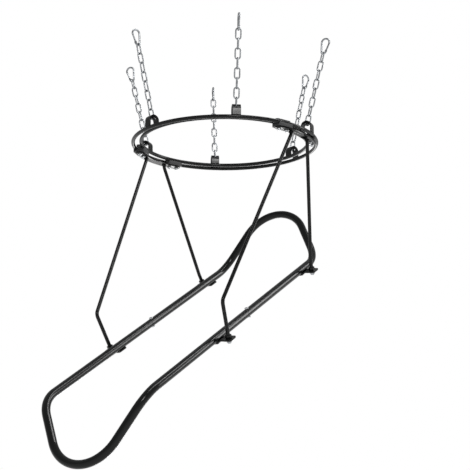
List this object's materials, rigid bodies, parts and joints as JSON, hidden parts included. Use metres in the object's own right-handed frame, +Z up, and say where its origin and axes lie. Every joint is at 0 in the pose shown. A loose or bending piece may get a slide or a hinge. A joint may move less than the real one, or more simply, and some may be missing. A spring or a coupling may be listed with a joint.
{
  "type": "basketball return system",
  "caption": "Hanging basketball return: a double ring track on chains with snap hooks carries a swivelling, sloping wire chute that rolls the made ball back to the shooter.",
  "frame": {"origin": "centre of the circle of rim eyes in which the snap hooks hang, at the inside top of the hooks", "axes": "+Z up; the chute lies along Y and lets the ball out towards -Y; X crosses the two rails"},
  "size_m": [0.481, 0.7098, 0.923],
  "materials": {
    "black_painted_steel": "smooth glossy black powder coat on bent steel bar and tube",
    "zinc_plated_steel": "bright zinc plated wire, bolts and nuts",
    "black_nylon": "machined black nylon with a satin surface"
  },
  "bodies": {
    "ring_track": {"inner_ring": "black_painted_steel", "outer_ring": "black_painted_steel", "hanger_bracket_1": "black_painted_steel", "hanger_bracket_2": "black_painted_steel", "hanger_bracket_3": "black_painted_steel", "hanger_bracket_4": "black_painted_steel", "hanger_bracket_5": "black_painted_steel", "hanger_bracket_6": "black_painted_steel"},
    "chute": {"carrier_plate_right": "black_painted_steel", "lower_block_right_front": "black_nylon", "guide_shoe_right_front": "black_nylon", "lower_block_right_rear": "black_nylon", "guide_shoe_right_rear": "black_nylon", "slider_bolt_right_1": "zinc_plated_steel", "slider_bolt_right_2": "zinc_plated_steel", "slider_bolt_right_3": "zinc_plated_steel", "slider_bolt_right_4": "zinc_plated_steel", "drop_rod_right_front": "black_painted_steel", "drop_rod_right_rear": "black_painted_steel", "foot_nut_right_front": "zinc_plated_steel", "foot_nut_right_rear": "zinc_plated_steel", "joint_screw_right": "zinc_plated_steel", "carrier_plate_left": "black_painted_steel", "lower_block_left_front": "black_nylon", "guide_shoe_left_front": "black_nylon", "lower_block_left_rear": "black_nylon", "guide_shoe_left_rear": "black_nylon", "slider_bolt_left_1": "zinc_plated_steel", "slider_bolt_left_2": "zinc_plated_steel", "slider_bolt_left_3": "zinc_plated_steel", "slider_bolt_left_4": "zinc_plated_steel", "drop_rod_left_front": "black_painted_steel", "drop_rod_left_rear": "black_painted_steel", "foot_nut_left_front": "zinc_plated_steel", "foot_nut_left_rear": "zinc_plated_steel", "joint_screw_left": "zinc_plated_steel", "chute_upper_half": "black_painted_steel", "chute_lower_half": "black_painted_steel"},
    "chain_1": {"chain_1": "zinc_plated_steel"},
    "hook_1": {"snap_hook_1": "zinc_plated_steel"},
    "gate_1": {"hook_gate_1": "zinc_plated_steel"},
    "chain_2": {"chain_2": "zinc_plated_steel"},
    "hook_2": {"snap_hook_2": "zinc_plated_steel"},
    "gate_2": {"hook_gate_2": "zinc_plated_steel"},
    "chain_3": {"chain_3": "zinc_plated_steel"},
    "hook_3": {"snap_hook_3": "zinc_plated_steel"},
    "gate_3": {"hook_gate_3": "zinc_plated_steel"},
    "chain_4": {"chain_4": "zinc_plated_steel"},
    "hook_4": {"snap_hook_4": "zinc_plated_steel"},
    "gate_4": {"hook_gate_4": "zinc_plated_steel"},
    "chain_5": {"chain_5": "zinc_plated_steel"},
    "hook_5": {"snap_hook_5": "zinc_plated_steel"},
    "gate_5": {"hook_gate_5": "zinc_plated_steel"},
    "chain_6": {"chain_6": "zinc_plated_steel"},
    "hook_6": {"snap_hook_6": "zinc_plated_steel"},
    "gate_6": {"hook_gate_6": "zinc_plated_steel"}
  },
  "joints": [
    {"name": "chute_swivel", "type": "hinge", "parent": "ring_track", "child": "chute", "pos_m": [0, 0, -0.20437], "axis": [0, 0, 1], "continuous": true},
    {"name": "chain_swing_1", "type": "hinge", "parent": "ring_track", "child": "chain_1", "pos_m": [0.18753, 0.03206, -0.18242], "axis": [0.1685, -0.9857, 0], "range_deg": [0, 30]},
    {"name": "hook_swing_1", "type": "hinge", "parent": "chain_1", "child": "hook_1", "pos_m": [0.22544, 0.03853, -0.02737], "axis": [0.1685, -0.9857, 0], "range_deg": [0, 70]},
    {"name": "gate_spring_1", "type": "hinge", "parent": "hook_1", "child": "gate_1", "pos_m": [0.23071, 0.03944, -0.02623], "axis": [0.1685, -0.9857, 0], "range_deg": [0, 25], "stiffness_Nm_per_rad": 0.01, "springref_deg": -28.65},
    {"name": "chain_swing_2", "type": "hinge", "parent": "ring_track", "child": "chain_2", "pos_m": [0.066, 0.17843, -0.18242], "axis": [0.9379, -0.3469, 0], "range_deg": [0, 30]},
    {"name": "hook_swing_2", "type": "hinge", "parent": "chain_2", "child": "hook_2", "pos_m": [0.07935, 0.21451, -0.02737], "axis": [0.9379, -0.3469, 0], "range_deg": [0, 70]},
    {"name": "gate_spring_2", "type": "hinge", "parent": "hook_2", "child": "gate_2", "pos_m": [0.0812, 0.21952, -0.02623], "axis": [0.9379, -0.3469, 0], "range_deg": [0, 25], "stiffness_Nm_per_rad": 0.01, "springref_deg": -28.65},
    {"name": "chain_swing_3", "type": "hinge", "parent": "ring_track", "child": "chain_3", "pos_m": [-0.12153, 0.14638, -0.18242], "axis": [0.7694, 0.6388, 0], "range_deg": [0, 30]},
    {"name": "hook_swing_3", "type": "hinge", "parent": "chain_3", "child": "hook_3", "pos_m": [-0.14609, 0.17597, -0.02737], "axis": [0.7694, 0.6388, 0], "range_deg": [0, 70]},
    {"name": "gate_spring_3", "type": "hinge", "parent": "hook_3", "child": "gate_3", "pos_m": [-0.14951, 0.18008, -0.02623], "axis": [0.7694, 0.6388, 0], "range_deg": [0, 25], "stiffness_Nm_per_rad": 0.01, "springref_deg": -28.65},
    {"name": "chain_swing_4", "type": "hinge", "parent": "ring_track", "child": "chain_4", "pos_m": [-0.18753, -0.03206, -0.18242], "axis": [-0.1685, 0.9857, 0], "range_deg": [0, 30]},
    {"name": "hook_swing_4", "type": "hinge", "parent": "chain_4", "child": "hook_4", "pos_m": [-0.22544, -0.03853, -0.02737], "axis": [-0.1685, 0.9857, 0], "range_deg": [0, 70]},
    {"name": "gate_spring_4", "type": "hinge", "parent": "hook_4", "child": "gate_4", "pos_m": [-0.23071, -0.03944, -0.02623], "axis": [-0.1685, 0.9857, 0], "range_deg": [0, 25], "stiffness_Nm_per_rad": 0.01, "springref_deg": -28.65},
    {"name": "chain_swing_5", "type": "hinge", "parent": "ring_track", "child": "chain_5", "pos_m": [-0.066, -0.17843, -0.18242], "axis": [-0.9379, 0.3469, 0], "range_deg": [0, 30]},
    {"name": "hook_swing_5", "type": "hinge", "parent": "chain_5", "child": "hook_5", "pos_m": [-0.07935, -0.21451, -0.02737], "axis": [-0.9379, 0.3469, 0], "range_deg": [0, 70]},
    {"name": "gate_spring_5", "type": "hinge", "parent": "hook_5", "child": "gate_5", "pos_m": [-0.0812, -0.21952, -0.02623], "axis": [-0.9379, 0.3469, 0], "range_deg": [0, 25], "stiffness_Nm_per_rad": 0.01, "springref_deg": -28.65},
    {"name": "chain_swing_6", "type": "hinge", "parent": "ring_track", "child": "chain_6", "pos_m": [0.12153, -0.14638, -0.18242], "axis": [-0.7694, -0.6388, 0], "range_deg": [0, 30]},
    {"name": "hook_swing_6", "type": "hinge", "parent": "chain_6", "child": "hook_6", "pos_m": [0.14609, -0.17597, -0.02737], "axis": [-0.7694, -0.6388, 0], "range_deg": [0, 70]},
    {"name": "gate_spring_6", "type": "hinge", "parent": "hook_6", "child": "gate_6", "pos_m": [0.14951, -0.18008, -0.02623], "axis": [-0.7694, -0.6388, 0], "range_deg": [0, 25], "stiffness_Nm_per_rad": 0.01, "springref_deg": -28.65}
  ]
}
